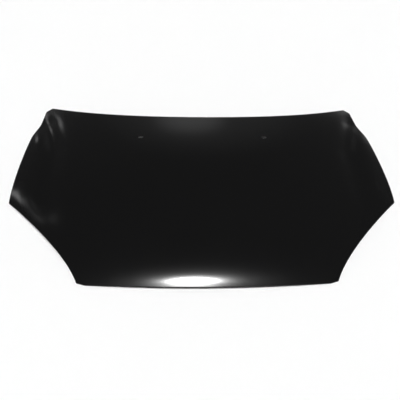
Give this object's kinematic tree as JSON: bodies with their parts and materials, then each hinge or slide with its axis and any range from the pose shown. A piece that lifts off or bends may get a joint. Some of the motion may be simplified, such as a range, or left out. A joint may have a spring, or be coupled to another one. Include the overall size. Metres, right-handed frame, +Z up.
{
  "type": "car bonnet",
  "caption": "Crowned car bonnet with a swept windscreen edge, headlamp cut-outs, two washer-jet holes and a hemmed, ribbed inner frame.",
  "frame": {"origin": "under the middle of the bonnet's outline, on the plane that its rim rests on", "axes": "+Y from the nose to the windscreen edge, +X to the car's left, +Z up through the outer skin"},
  "size_m": [1.4, 0.92, 0.1019],
  "materials": {
    "outer_coat": "black electrocoat primer, semi-gloss",
    "inner_coat": "black electrocoat primer, a little duller",
    "plate_coat": "black electrocoat primer, satin",
    "zinc": "dull zinc plate",
    "mastic": "matt dark grey anti-flutter mastic"
  },
  "bodies": {
    "root": {"outer_panel": "outer_coat", "inner_frame": "inner_coat", "hinge_reinforcement_left": "plate_coat", "hinge_nut_left_front": "zinc", "hinge_nut_left_rear": "zinc", "hinge_reinforcement_right": "plate_coat", "hinge_nut_right_front": "zinc", "hinge_nut_right_rear": "zinc", "latch_reinforcement": "plate_coat", "striker": "zinc", "mastic_pad_01": "mastic", "mastic_pad_02": "mastic", "mastic_pad_03": "mastic", "mastic_pad_04": "mastic", "mastic_pad_05": "mastic", "mastic_pad_06": "mastic", "mastic_pad_07": "mastic", "mastic_pad_08": "mastic", "mastic_pad_09": "mastic", "mastic_pad_10": "mastic", "mastic_pad_11": "mastic", "mastic_pad_12": "mastic", "mastic_pad_13": "mastic", "mastic_pad_14": "mastic", "mastic_pad_15": "mastic", "mastic_pad_16": "mastic"}
  },
  "joints": []
}
